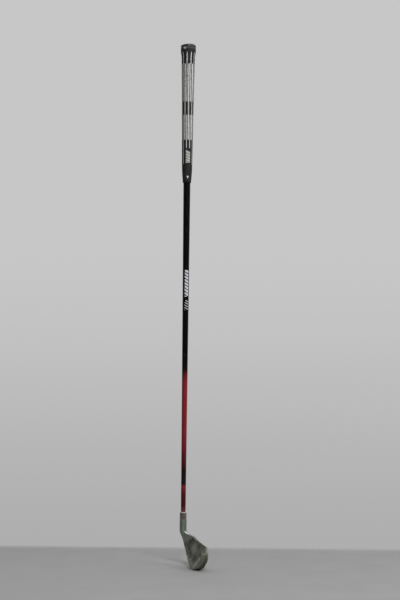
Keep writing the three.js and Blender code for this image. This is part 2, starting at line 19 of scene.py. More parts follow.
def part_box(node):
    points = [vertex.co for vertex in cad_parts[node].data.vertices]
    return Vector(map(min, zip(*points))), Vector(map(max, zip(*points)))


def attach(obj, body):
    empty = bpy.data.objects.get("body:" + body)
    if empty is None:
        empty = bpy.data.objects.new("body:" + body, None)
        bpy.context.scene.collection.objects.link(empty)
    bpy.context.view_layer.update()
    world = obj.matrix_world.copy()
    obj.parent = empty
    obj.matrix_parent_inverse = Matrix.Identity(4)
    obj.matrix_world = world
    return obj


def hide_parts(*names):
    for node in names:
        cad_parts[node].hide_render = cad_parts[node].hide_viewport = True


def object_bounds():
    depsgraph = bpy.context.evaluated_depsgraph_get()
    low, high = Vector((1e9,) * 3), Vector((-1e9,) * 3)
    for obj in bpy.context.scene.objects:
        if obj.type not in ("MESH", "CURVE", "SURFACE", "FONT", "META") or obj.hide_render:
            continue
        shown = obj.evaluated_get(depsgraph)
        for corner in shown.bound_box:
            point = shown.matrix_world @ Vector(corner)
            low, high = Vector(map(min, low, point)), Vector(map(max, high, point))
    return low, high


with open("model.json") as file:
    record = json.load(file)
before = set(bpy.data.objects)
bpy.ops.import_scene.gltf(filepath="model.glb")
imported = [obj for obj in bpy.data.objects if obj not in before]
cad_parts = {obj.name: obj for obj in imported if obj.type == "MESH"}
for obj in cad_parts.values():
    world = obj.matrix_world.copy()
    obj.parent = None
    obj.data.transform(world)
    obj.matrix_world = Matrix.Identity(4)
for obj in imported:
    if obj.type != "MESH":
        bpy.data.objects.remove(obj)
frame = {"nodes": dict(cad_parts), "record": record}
cad_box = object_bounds()
MM = 0.001
print("pieces from CAD:", ", ".join(sorted(frame["nodes"])))
print("box in mm:", [[round(v / MM, 1) for v in corner] for corner in cad_box])

# %% [markdown]
# ## The head's own directions
#
# Wear and dirt on an iron follow its face, which leans back by the loft and turns with the lie.
# It would be tedious to paint in world axes. The record says where the striking face is and
# which way it looks, so two cross products give a drawing board that lies on the face: `TOEWARD`
# runs along the score lines and `UP_FACE` climbs them. Places on the board are in millimetres
# from the heel end of the leading edge.

# %% Directions of the face
face_mount = next(m for m in frame["record"]["mounts"] if m["name"] == "striking_face")
FACE_OUT = Vector(face_mount["axis"]).normalized()
TOEWARD = Vector((0, 1, 0)).cross(FACE_OUT).normalized()
UP_FACE = FACE_OUT.cross(TOEWARD).normalized()
MOUNT_ALONG = 38.0
MOUNT_HEIGHT = 22.7
face_point = Vector(face_mount["pos_m"]) / MM
BOARD = face_point - TOEWARD * MOUNT_ALONG - UP_FACE * MOUNT_HEIGHT
print("toeward", [round(v, 3) for v in TOEWARD], "up the face", [round(v, 3) for v in UP_FACE])

# %% [markdown]
# ## The camera
#
# The view is from the toe side, turned just enough towards the face to show it at a steep slant,
# and nearly square to the shaft. A long lens from three metres keeps the perspective flat, which
# suits something so long and thin. The camera is aimed at a point halfway down the shaft, then
# turned by a few pixels so that this point falls at its own place in the frame.

# %% View
IMAGE_WIDTH = 400
IMAGE_HEIGHT = 600
AIM = Vector((0, 0, -0.480))
AIM_PIXEL = (185.64, 295.64)
DISTANCE = 3.0
AZIMUTH = math.radians(78.8)
ELEVATION = math.radians(-1.08)
ROLL = math.radians(0.64)
PIXELS_PER_METRE = 525.0


def direction(turn, rise):
    """The way out from the club at a turn from its front and a rise, both in radians."""
    flat = math.cos(rise)
    return Vector((math.sin(turn) * flat, -math.cos(turn) * flat, math.sin(rise)))


toward_camera = direction(AZIMUTH, ELEVATION)
level_right = Vector((math.cos(AZIMUTH), math.sin(AZIMUTH), 0))
level_up = toward_camera.cross(level_right)
print("the camera stands", DISTANCE, "m out along", [round(v, 3) for v in toward_camera])

# %% Aim
focal_pixels = PIXELS_PER_METRE * DISTANCE
right = level_right * math.cos(ROLL) + level_up * math.sin(ROLL)
up = level_up * math.cos(ROLL) - level_right * math.sin(ROLL)
ahead = (
    -toward_camera * focal_pixels
    + right * (IMAGE_WIDTH / 2 - AIM_PIXEL[0])
    - up * (IMAGE_HEIGHT / 2 - AIM_PIXEL[1])
).normalized()
right = (right - ahead * right.dot(ahead)).normalized()
up = right.cross(ahead)
print("and looks along", [round(v, 3) for v in ahead])


# %% Camera
def put(name, data):
    """Makes an object of a mesh, light or camera and puts it in the scene."""
    made = bpy.data.objects.new(name, data)
    bpy.context.scene.collection.objects.link(made)
    return made


camera_data = bpy.data.cameras.new("camera")
camera_data.lens = focal_pixels * camera_data.sensor_width / IMAGE_HEIGHT
camera = put("camera", camera_data)
axes = Matrix((right, up, -ahead)).transposed().to_4x4()
camera.matrix_world = Matrix.Translation(AIM + toward_camera * DISTANCE) @ axes
bpy.context.scene.camera = camera
print("lens", round(camera_data.lens, 1), "mm")

# %% [markdown]
# ## Shader maths as plain sums
#
# A procedural finish is a formula over the surface. Wiring it node by node hides the formula,
# so `Wire` wraps a node's output, and a plus or a times between two wires adds the Math node.
# `Recipe` holds a node tree and has a single method for any other node: its type, its settings,
# and the values or wires of its sockets. `Finish` is a recipe for a material, measured in
# millimetres.

# %% Wires
class Wire:
    """One output of a recipe's nodes, which can be added, multiplied and compared."""

    def __init__(self, recipe, socket):
        self.recipe = recipe
        self.socket = socket

    def maths(self, operation, first, second=0.0):
        kind = "VectorMath" if self.socket.type == "VECTOR" else "Math"
        return self.recipe.node(kind, {"operation": operation}, {0: first, 1: second})

    def __add__(self, other):
        return self.maths("ADD", self, other)

    def __radd__(self, other):
        return self.maths("ADD", other, self)

    def __sub__(self, other):
        return self.maths("SUBTRACT", self, other)

    def __rsub__(self, other):
        return self.maths("SUBTRACT", other, self)

    def __mul__(self, other):
        return self.maths("MULTIPLY", self, other)

    def __rmul__(self, other):
        return self.maths("MULTIPLY", other, self)

    def __truediv__(self, other):
        return self.maths("DIVIDE", self, other)

    def __abs__(self):
        return self.maths("ABSOLUTE", self)

    def __gt__(self, other):
        return self.maths("GREATER_THAN", self, other)

    def __lt__(self, other):
        return self.maths("LESS_THAN", self, other)

    def fraction(self):
        return self.maths("FRACT", self)

    def dot(self, direction):
        settings = {"operation": "DOT_PRODUCT"}
        return self.recipe.node("VectorMath", settings, {0: self, 1: direction}, out="Value")


print("a wire knows", sum(callable(entry) for entry in vars(Wire).values()), "operations")


# %% Recipes
class Recipe:
    """A node tree whose formula is built up from wires."""

    def __init__(self, tree):
        self.tree = tree

    def node(self, kind, settings=None, inputs=None, out=0):
        made = self.tree.nodes.new("ShaderNode" + kind)
        for name, value in (settings or {}).items():
            setattr(made, name, value)
        for key, value in (inputs or {}).items():
            if isinstance(value, Wire):
                self.tree.links.new(value.socket, made.inputs[key])
            else:
                made.inputs[key].default_value = value
        return Wire(self, made.outputs[out])

    def part(self, vector, name):
        return self.node("SeparateXYZ", {}, {0: vector}, out=name)

    def ease(self, value, start, end):
        """0 before start, 1 after end and a soft step in between."""
        settings = {"interpolation_type": "SMOOTHSTEP"}
        return self.node("MapRange", settings, {0: value, 1: start, 2: end, 3: 0.0, 4: 1.0})

    def between(self, value, low, high, soft):
        return self.ease(value, low - soft, low) * (1 - self.ease(value, high, high + soft))

    def larger(self, first, second):
        return self.node("Math", {"operation": "MAXIMUM"}, {0: first, 1: second})

    def distance(self, first, second):
        settings = {"operation": "DISTANCE"}
        return self.node("VectorMath", settings, {0: first, 1: second}, out="Value")

    def tint(self, mask, bare, covered):
        """The bare colour where the mask is 0, and the covered one where it is 1."""
        settings = {"data_type": "RGBA", "clamp_factor": True}
        return self.node("Mix", settings, {0: mask, 6: bare, 7: covered}, out=2)


print("a recipe has", ", ".join(name for name in vars(Recipe) if name[0] != "_"))


# %% Finishes
class Finish(Recipe):
    """A material's recipe. Places on the piece are in millimetres."""

    def __init__(self, name):
        self.material = bpy.data.materials.new(name)
        self.material.use_nodes = True
        super().__init__(self.material.node_tree)
        self.shader = self.tree.nodes["Principled BSDF"]
        in_metres = self.node("TexCoord", out="Object")
        self.place = self.node(
            "VectorMath", {"operation": "SCALE"}, {0: in_metres, "Scale": 1 / MM}
        )

    def axis(self, name):
        return self.part(self.place, name)

    def noise(self, size, detail=3.0, stretch=(1.0, 1.0, 1.0)):
        """Cloudy values from 0 to 1, whose blots are about the size in millimetres."""
        scaled = self.place * tuple(1 / (size * s) for s in stretch)
        return self.node("TexNoise", {}, {"Vector": scaled, "Scale": 1.0, "Detail": detail})

    def cells(self, size, out="Distance"):
        scaled = self.place * (1 / size, 1 / size, 1 / size)
        return self.node("TexVoronoi", {}, {"Vector": scaled, "Scale": 1.0}, out=out)

    def flecks(self, size, low, high, detail=3.0, stretch=(1.0, 1.0, 1.0)):
        """Scattered marks: 0 where the noise is under low, and 1 where it is over high."""
        return self.ease(self.noise(size, detail, stretch), low, high)

    def coats(self, bare, marks, table, patches):
        """Colours laid over the bare one, row by row, each where its mark is."""
        tone = bare
        for mark, strength, patchy, colour in table:
            tone = self.tint(marks[mark] * (patches * patchy + strength), tone, colour)
        return tone

    def relief(self, height, depth, below=None):
        """A bump whose full height is the depth in millimetres."""
        inputs = {"Height": height, "Distance": depth * MM, "Strength": 1.0}
        if below:
            inputs["Normal"] = below
        return self.node("Bump", {}, inputs)

    def set(self, **sockets):
        """Feeds the shader. Names are the sockets' own with _ for a space."""
        for name, value in sockets.items():
            socket = self.shader.inputs[name.replace("_", " ")]
            if isinstance(value, Wire):
                self.tree.links.new(value.socket, socket)
            else:
                socket.default_value = value
        return self.material


print("a finish adds", ", ".join(name for name in vars(Finish) if name[0] != "_"))

# %% [markdown] ## The floor  The floor is a flat sheet with a faint cloud in its tone. It ends
# a quarter of a metre behind the club, where the backdrop begins. All its edges fade by their
# alpha, so that no view from another side shows a slab.

# %% Floor finish
FLOOR_BEHIND = 0.26
FLOOR_AHEAD = 2.2
FLOOR_HALF_WIDTH = 2.0
FLOOR_FADE = 0.06
FLOOR_LONG_FADE = 1.5
FLOOR_TONES = ((0.225, 0.225, 0.225, 1), (0.275, 0.275, 0.275, 1))
FLOOR_CLOUD = 60.0
FLOOR_ROUGHNESS = 0.6
FLOOR_ROUGHENING = 0.1
flat_camera = direction(AZIMUTH, 0)


def floor_finish():
    floor = Finish("pale_floor")
    cloud = floor.noise(FLOOR_CLOUD, detail=5.0)
    front = floor.place.dot(flat_camera) * MM
    side = abs(floor.place.dot(level_right)) * MM
    solid = floor.ease(front, -FLOOR_BEHIND, FLOOR_FADE - FLOOR_BEHIND)
    solid = solid * (1 - floor.ease(front, FLOOR_AHEAD - FLOOR_LONG_FADE, FLOOR_AHEAD))
    solid = solid * (1 - floor.ease(side, FLOOR_HALF_WIDTH - FLOOR_LONG_FADE, FLOOR_HALF_WIDTH))
    tone = floor.tint(cloud, *FLOOR_TONES)
    rough = FLOOR_ROUGHNESS + cloud * FLOOR_ROUGHENING
    return floor.set(Base_Color=tone, Roughness=rough, Alpha=solid)


print("the floor is solid up to", round(FLOOR_AHEAD - FLOOR_LONG_FADE, 2), "m in front")

# %% Floor sheet
floor_height = cad_box[0].z


def place_floor():
    mesh = bpy.data.meshes.new("floor")
    corners = [
        flat_camera * front + level_right * side
        for front, side in (
            (-FLOOR_BEHIND, -FLOOR_HALF_WIDTH), (-FLOOR_BEHIND, FLOOR_HALF_WIDTH),
            (FLOOR_AHEAD, FLOOR_HALF_WIDTH), (FLOOR_AHEAD, -FLOOR_HALF_WIDTH),
        )
    ]
    mesh.from_pydata([(c.x, c.y, floor_height) for c in corners], [], [(0, 1, 2, 3)])
    mesh.materials.append(floor_finish())
    put("floor", mesh)


place_floor()
print("floor at", round(floor_height / MM, 1), "mm")

# %% [markdown]
# ## Soft light
#
# Square panels are the plain studio's light: the key near the camera, a wide one at the right,
# one behind that draws a thin rim on the steel, and one for the far side. They hang high, because
# an upright shaft mirrors only what stands at its own height, and a panel there would draw a
# white line down the black paint.

# %% Lights
PANELS = {  # turn and lift in degrees, far and size in metres
    "key": {"turn": 14, "lift": 38, "far": 2.3, "size": 0.8, "watts": 48},
    "side": {"turn": 80, "lift": 34, "far": 2.2, "size": 1.2, "watts": 22},
    "rim_highlight": {"turn": 138, "lift": 36, "far": 2.3, "size": 0.8, "watts": 5},
    "back": {"turn": 215, "lift": 50, "far": 2.3, "size": 1.6, "watts": 20},
}


def hang_panel(name, turn, lift, far, size, watts):
    """A square softbox, placed by its turn from the camera and its lift above the club."""
    away = direction(AZIMUTH + math.radians(turn), math.radians(lift))
    light = bpy.data.lights.new(name, "AREA")
    light.size = size
    light.energy = watts
    lamp = put(name, light)
    lamp.location = AIM + away * far
    lamp.rotation_euler = away.to_track_quat("Z", "Y").to_euler()


for panel, setting in PANELS.items():
    hang_panel(panel, **setting)
print("panels:", ", ".join(PANELS))

# %% [markdown]
# ## The room
#
# Gloss shows the room. A dim room in front keeps the black paint black, and a pale one behind
# gives the steel and the rims of the round parts something to pick up. So the sky's colour goes
# from dim to pale with the direction. The camera itself sees a plain pale backdrop instead, a
# little darker towards the floor.

# %% Room
ROOM_DIM = (0.030, 0.030, 0.031, 1)
ROOM_PALE = (0.44, 0.44, 0.44, 1)
BACKDROP_LOW = (0.42, 0.42, 0.42, 1)
BACKDROP_HIGH = (0.57, 0.57, 0.57, 1)
ROOM_GROWS_PALE = (-0.1, 0.8)
BACKDROP_GROWS_PALE = (-0.16, 0.06)

sky = bpy.data.worlds.new("sky")
sky.use_nodes = True
air = Recipe(sky.node_tree)
outward = air.node("TexCoord", out="Generated")
behind = air.ease(outward.dot(-flat_camera), *ROOM_GROWS_PALE)
raised = air.ease(air.part(outward, "Z"), *BACKDROP_GROWS_PALE)
room = air.tint(behind, ROOM_DIM, ROOM_PALE)
backdrop = air.tint(raised, BACKDROP_LOW, BACKDROP_HIGH)
seen = air.node("LightPath", out="Is Camera Ray")
background = sky.node_tree.nodes["Background"]
sky.node_tree.links.new(air.tint(seen, room, backdrop).socket, background.inputs["Color"])
bpy.context.scene.world = sky
bpy.context.scene.view_settings.view_transform = "Standard"
print("room from", ROOM_DIM[0], "to", ROOM_PALE[0])

# %% [markdown]
# ## Dressing a CAD solid
#
# The packed solids are made of separate flat triangles, and light would show every one of them.
# A dressed copy welds the triangles together and shades them smoothly up to an edge angle. It
# takes the solid's place and keeps its shape. A bevel modifier could soften the steel's edges,
# but the casting has some very short ones, and the modifier's overlap limit would shrink the
# whole bevel to nothing over them. So the edges stay crisp.

# %% Weld
WELD_GAP = 0.002
SLIVER = 0.001


def weld(mesh):
    """Joins a mesh's loose triangles and counts the edges that stay open."""
    body = bmesh.new()
    body.from_mesh(mesh)
    bmesh.ops.remove_doubles(body, verts=body.verts, dist=WELD_GAP * MM)
    bmesh.ops.dissolve_degenerate(body, edges=body.edges, dist=SLIVER * MM)
    open_edges = sum(not edge.is_manifold for edge in body.edges)
    body.to_mesh(mesh)
    body.free()
    return open_edges


print("corners nearer than", WELD_GAP, "mm are welded")


# %% Wearing a finish
def wear_finish(piece, node, finish):
    """Puts the finish on a piece that stands in for a CAD node."""
    piece.data.materials.clear()
    piece.data.materials.append(finish)
    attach(piece, "root")
    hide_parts(node)
    print(piece.name, "wears", finish.name, "of", len(finish.node_tree.nodes), "nodes")


# %% Dressed copies
SHARP_ANGLE = math.radians(38)


def dressed(node, finish):
    """A welded, smooth copy of a CAD solid, in its finish."""
    mesh = frame["nodes"][node].data.copy()
    mesh.name = node + "_dressed"
    open_edges = weld(mesh)
    mesh.attributes.remove(mesh.attributes["custom_normal"])
    mesh.shade_smooth()
    mesh.set_sharp_from_angle(angle=SHARP_ANGLE)
    piece = put(mesh.name, mesh)
    piece.modifiers.new("normals", "WEIGHTED_NORMAL").keep_sharp = True
    print(piece.name, len(mesh.vertices), "vertices,", open_edges, "open edges")
    wear_finish(piece, node, finish)


print("edges sharper than", round(math.degrees(SHARP_ANGLE)), "degrees stay crisp")

# %% [markdown]
# ## Worn cast steel
#
# The head was cast, blasted to an even satin and then used for years. Its steel is a dark warm
# grey. Strikes have rubbed pale spots into the face, grass juice and earth have dried in patches
# round them and under the topline, and the score lines are full of dirt. One dark spot at the top
# of the toe's edge is painted shade that dulls the highlight there. The neck is paler, partly
# from polish and partly as a painted highlight where it turns into the blade, and the hosel has a
# greenish cast. A pale band on the rim behind the toe is a painted highlight, turf has rubbed the
# toe's low rim, and the low side of the toe is darkened as painted shade. The cavity's floor
# holds dirt. One picture of all this would need a texture map. Here each kind of mark is a mask
# by itself, and the steel's colour is built up coat by coat, from a table that says how strongly
# each mark covers what is under it. Noise shifts most borders, so that no edge looks drawn.

# %% Steel coats
STEEL_DARK = (0.123, 0.125, 0.100, 1)
STEEL_LIGHT = (0.270, 0.275, 0.222, 1)
# Rubbed steel, which is also the colour of the painted highlight on the rim behind the toe.
STEEL_RUBBED_AND_SHEEN = (0.445, 0.450, 0.388, 1)
# Stain colour, which is also used as painted shade on the low toe and at the top of the toe's
# edge.
STEEL_STAIN_AND_SHADE = (0.049, 0.049, 0.033, 1)
# Paler polished neck, whose tone also paints the highlight where the neck turns into the blade.
STEEL_NECK_POLISH_AND_SHEEN = (0.345, 0.345, 0.335, 1)
STEEL_HOSEL = (0.280, 0.325, 0.280, 1)
DIRT = (0.030, 0.026, 0.018, 1)
STEEL_COATS = [  # mark, its strength, what the mottle adds to that, colour
    # paler polish on the neck, and a painted highlight
    ("neck_polish_and_sheen", 0.75, 0.00, STEEL_NECK_POLISH_AND_SHEEN),
    ("hosel", 0.90, 0.00, STEEL_HOSEL),
    ("rubbed", 0.30, 0.60, STEEL_RUBBED_AND_SHEEN),
    # stains, with one spot of painted shade on the toe's edge
    ("stains_and_shade", 0.50, 0.40, STEEL_STAIN_AND_SHADE),
    # painted shade on the low side of the toe, and dirt on the cavity's floor
    ("toe_shade_and_cavity_dirt", 0.35, 0.40, STEEL_STAIN_AND_SHADE),
    # painted highlight on the rim behind the toe
    ("toe_rim_highlight", 0.60, 0.40, STEEL_RUBBED_AND_SHEEN),
    ("turf_rim", 0.65, 0.15, STEEL_RUBBED_AND_SHEEN),
    ("speckle", 0.35, 0.00, STEEL_STAIN_AND_SHADE),
    ("scratches", 0.30, 0.00, STEEL_RUBBED_AND_SHEEN),
    ("scores", 0.60, 0.50, DIRT),
]
print(len(STEEL_COATS), "coats lie over the bare steel")

# %% Spots on the face
RUBBED_SPOTS = [  # along the score lines, up the face, size
    (24, 26, 11), (33, 26, 8), (62, 43, 7), (66, 30, 6), (66, 19, 8),
    (41, 7, 7), (53, 9, 7), (28, 5, 6), (-9, 16, 7), (-5, 5, 4), (-11, 9, 5), (67, 10, 8),
    (30, 0, 5), (44, 0, 5),
]
# Stains. The one at 74 along and 48 up is painted shade that dulls the highlight on the toe's
# edge.
STAIN_AND_SHADE_SPOTS = [
    (1, 21, 7), (4, 14, 6), (13, 13, 6), (25, 14, 6), (34, 12, 6), (52, 19, 9),
    (39, 41, 6), (61, 36, 4), (67, 54, 9), (74, 48, 6),
]
SPOT_CORE = 0.3
SPOT_REACH = 1.25


def spots(steel, on_board, ragged, places):
    """Round blots on the drawing board, with borders that the ragged noise shifts."""
    total = 0.0
    for along, height, size in places:
        far = steel.distance(on_board, (along, height, 0)) + ragged
        total = steel.larger(total, 1 - steel.ease(far, size * SPOT_CORE, size * SPOT_REACH))
    return total


print(len(RUBBED_SPOTS), "rubbed spots and", len(STAIN_AND_SHADE_SPOTS), "stain_and_shade_blots")

# %% Marks of the face
SCORE_ALONG = (12.5, 62.5, 0.5)  # in mm: from, to, and the fade on either side
SCORE_DEPTH = (0.10, 0.60, 0.03)
BLAST_ALONG = (9.0, 66.0, 0.4)
BLAST_DEPTH = (-0.05, 0.05, 0.03)
RUBBED_DEPTH = (-0.4, 0.9, 0.6)
STAIN_AND_SHADE_DEPTH = (-0.4, 3.0, 0.6)
TOPLINE_FOOT = 31.0
TOPLINE_RISE = 0.32
TOPLINE_RAGGED = 0.3
TOPLINE_EDGE = (-1.0, 2.5)
TOPLINE_DIRT = 0.7


def face_marks(steel, along, height, depth, ragged):
    """What the ball, the grass and the earth left on the striking face."""
    on_board = steel.node("CombineXYZ", {}, {0: along, 1: height})
    over_topline = height - along * TOPLINE_RISE - TOPLINE_FOOT + ragged * TOPLINE_RAGGED
    dried = steel.ease(over_topline, *TOPLINE_EDGE) * TOPLINE_DIRT
    # Stains, and one spot of painted shade at the top of the toe's edge.
    stain_and_shade_blots = steel.larger(spots(steel, on_board, ragged, STAIN_AND_SHADE_SPOTS), dried)
    rubbed = spots(steel, on_board, ragged, RUBBED_SPOTS)
    return {
        "blasted": steel.between(depth, *BLAST_DEPTH) * steel.between(along, *BLAST_ALONG),
        "scores": steel.between(depth, *SCORE_DEPTH) * steel.between(along, *SCORE_ALONG),
        "rubbed": rubbed * steel.between(depth, *RUBBED_DEPTH),
        "stains_and_shade": stain_and_shade_blots * steel.between(depth, *STAIN_AND_SHADE_DEPTH),
    }


print("score lines from", SCORE_ALONG[0], "to", SCORE_ALONG[1], "mm along the board")

# %% Marks of the body
NECK_UP = (-962.0, -944.0)  # in mm, where the mark sets in and where it is full
NECK_ENDS_ALONG = (-2.0, 1.0)
HOSEL_UP = (-938.0, -924.0)
# Where the painted highlight on the rim behind the toe lies.
TOE_RIM_ALONG = (66.0, 71.0)
TOE_RIM_HEIGHT = (41.0, 46.0)
TOE_RIM_DEPTH = (7.2, 9.2)
TURF_RIM_ALONG = (50.0, 60.0)
TURF_RIM_ENDS_HEIGHT = (12.0, 46.0)
TURF_RIM_DEPTH = (0.7, 3.5, 0.6)
# Where the low side of the toe is darkened as painted shade.
LOW_TOE_SHADE_ALONG = (62.0, 80.0)
LOW_TOE_SHADE_ENDS_HEIGHT = (38.0, 50.0)
LOW_TOE_SHADE_DEPTH = (3.0, 6.0)
CAVITY_DEPTH = (2.9, 3.3, 0.2)
CAVITY_DIRT = 0.6
BODY_RAGGED = 0.4
LOW_TOE_SHADE_RAGGED = 0.5


def body_marks(steel, along, height, depth, ragged):
    """Neck and hosel tones, painted highlight and shade at the toe, turf rim and cavity dirt."""
    up = steel.axis("Z") + ragged
    rough_along = along + ragged * BODY_RAGGED
    # The neck's paler polish, which also paints the highlight where it turns into the blade.
    neck_polish_and_sheen = steel.ease(up, *NECK_UP) * (1 - steel.ease(rough_along, *NECK_ENDS_ALONG))
    # A painted highlight: paler steel on the rim behind the toe.
    toe_rim_highlight = steel.ease(rough_along, *TOE_RIM_ALONG) * steel.ease(depth, *TOE_RIM_DEPTH)
    toe_rim_highlight = toe_rim_highlight * steel.ease(height + ragged * BODY_RAGGED, *TOE_RIM_HEIGHT)
    turf_rim = steel.ease(along, *TURF_RIM_ALONG) * steel.between(depth, *TURF_RIM_DEPTH)
    turf_rim = turf_rim * (1 - steel.ease(height, *TURF_RIM_ENDS_HEIGHT))
    # Painted shade on the low side of the toe.
    low_toe_shade = steel.ease(along + ragged * LOW_TOE_SHADE_RAGGED, *LOW_TOE_SHADE_ALONG)
    low_toe_shade = low_toe_shade * (1 - steel.ease(height + ragged * LOW_TOE_SHADE_RAGGED, *LOW_TOE_SHADE_ENDS_HEIGHT))
    cavity = steel.between(depth, *CAVITY_DEPTH) * CAVITY_DIRT
    return {
        "neck_polish_and_sheen": neck_polish_and_sheen,
        "hosel": steel.ease(up, *HOSEL_UP),
        "toe_rim_highlight": toe_rim_highlight,
        "turf_rim": turf_rim,
        "toe_shade_and_cavity_dirt": steel.larger(steel.ease(depth, *LOW_TOE_SHADE_DEPTH) * low_toe_shade, cavity),
    }


print("the hosel's green begins", -HOSEL_UP[0], "mm below the butt")

# %% All marks of the steel
RAGGED_SIZE = 6.0
RAGGED_REACH = 12.0


def steel_marks(steel):
    """All masks of the steel by name."""
    board = steel.place - tuple(BOARD)
    ragged = (steel.noise(RAGGED_SIZE, detail=5.0) - 0.5) * RAGGED_REACH
    place = (board.dot(TOEWARD), board.dot(UP_FACE), board.dot(-FACE_OUT), ragged)
    return {
        **face_marks(steel, *place),
        **body_marks(steel, *place),
        "cloud": steel.noise(14.0, detail=4.0),
        "mottle": steel.noise(2.2, detail=6.0),
        "speckle": steel.flecks(0.5, 0.60, 0.75, detail=2.0),
        "scratches": steel.flecks(1.1, 0.62, 0.70, detail=2.0, stretch=(14.0, 0.5, 14.0)),
    }


print("borders shift by up to", RAGGED_REACH / 2, "mm")

# %% Steel surface
STEEL_ROUGHNESS = 0.36
STEEL_ROUGHENING = {
    "cloud": 0.08, "mottle": 0.14, "blasted": 0.08, "stains_and_shade": 0.12,
    "rubbed": -0.06, "scratches": -0.08, "scores": 0.30,
}
GRAIN_SIZE = 0.35
GRAIN_DEPTH = 0.035
PIT_SPACING = 2.6
PIT_RIM = (0.06, 0.20)
PITTED_CLOUDS = (0.45, 0.65)
PIT_DEPTH = 0.06
SCRATCH_DEPTH = 0.012
SCORES_LESS_METAL = 0.8
STAIN_AND_SHADE_LESS_METAL = 0.2


def steel_finish():
    steel = Finish("worn_steel")
    marks = steel_marks(steel)
    cloud, mottle = marks["cloud"], marks["mottle"]
    bare = steel.tint(cloud * 0.5 + mottle * 0.5, STEEL_DARK, STEEL_LIGHT)
    tone = steel.coats(bare, marks, STEEL_COATS, mottle)
    rough = STEEL_ROUGHNESS
    for mark, change in STEEL_ROUGHENING.items():
        rough = rough + marks[mark] * change
    pits = 1 - steel.ease(steel.cells(PIT_SPACING), *PIT_RIM)
    pits = pits * steel.ease(cloud, *PITTED_CLOUDS)
    grain = steel.noise(GRAIN_SIZE, detail=3.0) * (0.5 + marks["blasted"])
    normal = steel.relief(grain, GRAIN_DEPTH)
    normal = steel.relief(1 - pits, PIT_DEPTH, below=normal)
    normal = steel.relief(1 - marks["scratches"], SCRATCH_DEPTH, below=normal)
    metal = 1 - marks["scores"] * SCORES_LESS_METAL - marks["stains_and_shade"] * STAIN_AND_SHADE_LESS_METAL
    return steel.set(Base_Color=tone, Metallic=metal, Roughness=rough, Normal=normal)


dressed("club_head", steel_finish())

# %% [markdown]
# ## Skins made of rings
#
# The ferrule, the grip and the cap are round, but each has relief that the plain CAD solid
# lacks. It could be carved with booleans. A grid of rings is easier to steer: every ring has the
# same number of points, four-sided faces join each ring to the next, and the last ring closes on
# the first, so the skin has no hole. The radii come from the CAD solid, so the two agree.

# %% Outline of a CAD piece
def outline_of(node):
    """The heights of a round CAD piece, and its inner and outer radius at each, in mm."""
    radii = {}
    for vertex in frame["nodes"][node].data.vertices:
        radius = math.hypot(vertex.co.x, vertex.co.y) / MM
        down = round(-vertex.co.z / MM, 2)
        inner, outer = radii.get(down, (radius, radius))
        radii[down] = (min(inner, radius), max(outer, radius))
    rows = sorted(radii)
    return rows, [radii[row][0] for row in rows], [radii[row][1] for row in rows]


print("rows in the ferrule's CAD outline:", len(outline_of("ferrule")[0]))


# %% Rings
def ring(radius, down, angles, depths=None):
    """Points round the club's axis, each sunk by its own depth if depths are given."""
    points = []
    for k, angle in enumerate(angles):
        reach = (radius - (depths[k] if depths else 0.0)) * MM
        points.append((reach * math.cos(angle), reach * math.sin(angle), -down * MM))
    return points


def round_angles(count):
    return [2 * math.pi * k / count for k in range(count)]


print("a ring of 4 mm, 10 mm down, begins at", ring(4.0, 10.0, round_angles(72))[0])


# %% Ring grids
def ring_grid(name, rings, sharp_angle):
    """A closed skin through the rings, shaded smoothly up to the angle in degrees."""
    count = len(rings[0])
    faces = []
    for row in range(len(rings)):
        here, below = row * count, (row + 1) % len(rings) * count
        for k in range(count):
            beside = (k + 1) % count
            faces.append((here + k, below + k, below + beside, here + beside))
    mesh = bpy.data.meshes.new(name)
    mesh.from_pydata([point for points in rings for point in points], [], faces)
    body = bmesh.new()
    body.from_mesh(mesh)
    bmesh.ops.recalc_face_normals(body, faces=body.faces)
    open_edges = sum(not edge.is_manifold for edge in body.edges)
    body.to_mesh(mesh)
    body.free()
    mesh.shade_smooth()
    mesh.set_sharp_from_angle(angle=math.radians(sharp_angle))
    print(name, len(mesh.polygons), "faces,", open_edges, "open edges")
    return put(name, mesh)


print("pieces that get a skin of rings: ferrule, grip, butt cap")

# %% [markdown]
# ## The ferrule
#
# The ferrule is a turned plastic sleeve, buffed bright with acetone when the club was built. It
# keeps faint turning marks round its axis and picks up small scuffs from the bag. Its upper rim
# is a pale ring, painted as the highlight on the rim, with a fine groove below it. The groove is
# cut into the skin, so that it also shows in the mesh, and a mask by height colours the ring.

# %% Ferrule skin
FERRULE_COLUMNS = 72
RIM_HEIGHT = 1.7
RIM_GROOVE_WIDTH = 0.30
RIM_GROOVE_SLOPE = 0.06
RIM_GROOVE_DEPTH = 0.12


def ferrule_skin():
    heights, inner, outer = outline_of("ferrule")
    first = heights[0] + RIM_HEIGHT
    last = first + RIM_GROOVE_WIDTH
    cut = [first + RIM_GROOVE_SLOPE, last - RIM_GROOVE_SLOPE]
    angles = round_angles(FERRULE_COLUMNS)
    rings = []
    for row in sorted({*heights, first, last, *cut}):
        depth = RIM_GROOVE_DEPTH if row in cut else 0.0
        rings.append(ring(float(np.interp(row, heights, outer)) - depth, row, angles))
    rings.append(ring(inner[-1], heights[-1], angles))
    rings.append(ring(inner[0], heights[0], angles))
    return ring_grid("ferrule_sleeve", rings, sharp_angle=30)


ferrule = ferrule_skin()

# %% Ferrule finish
FERRULE_BLACK = (0.096, 0.078, 0.067, 1)
FERRULE_SCUFF = (0.214, 0.189, 0.170, 1)
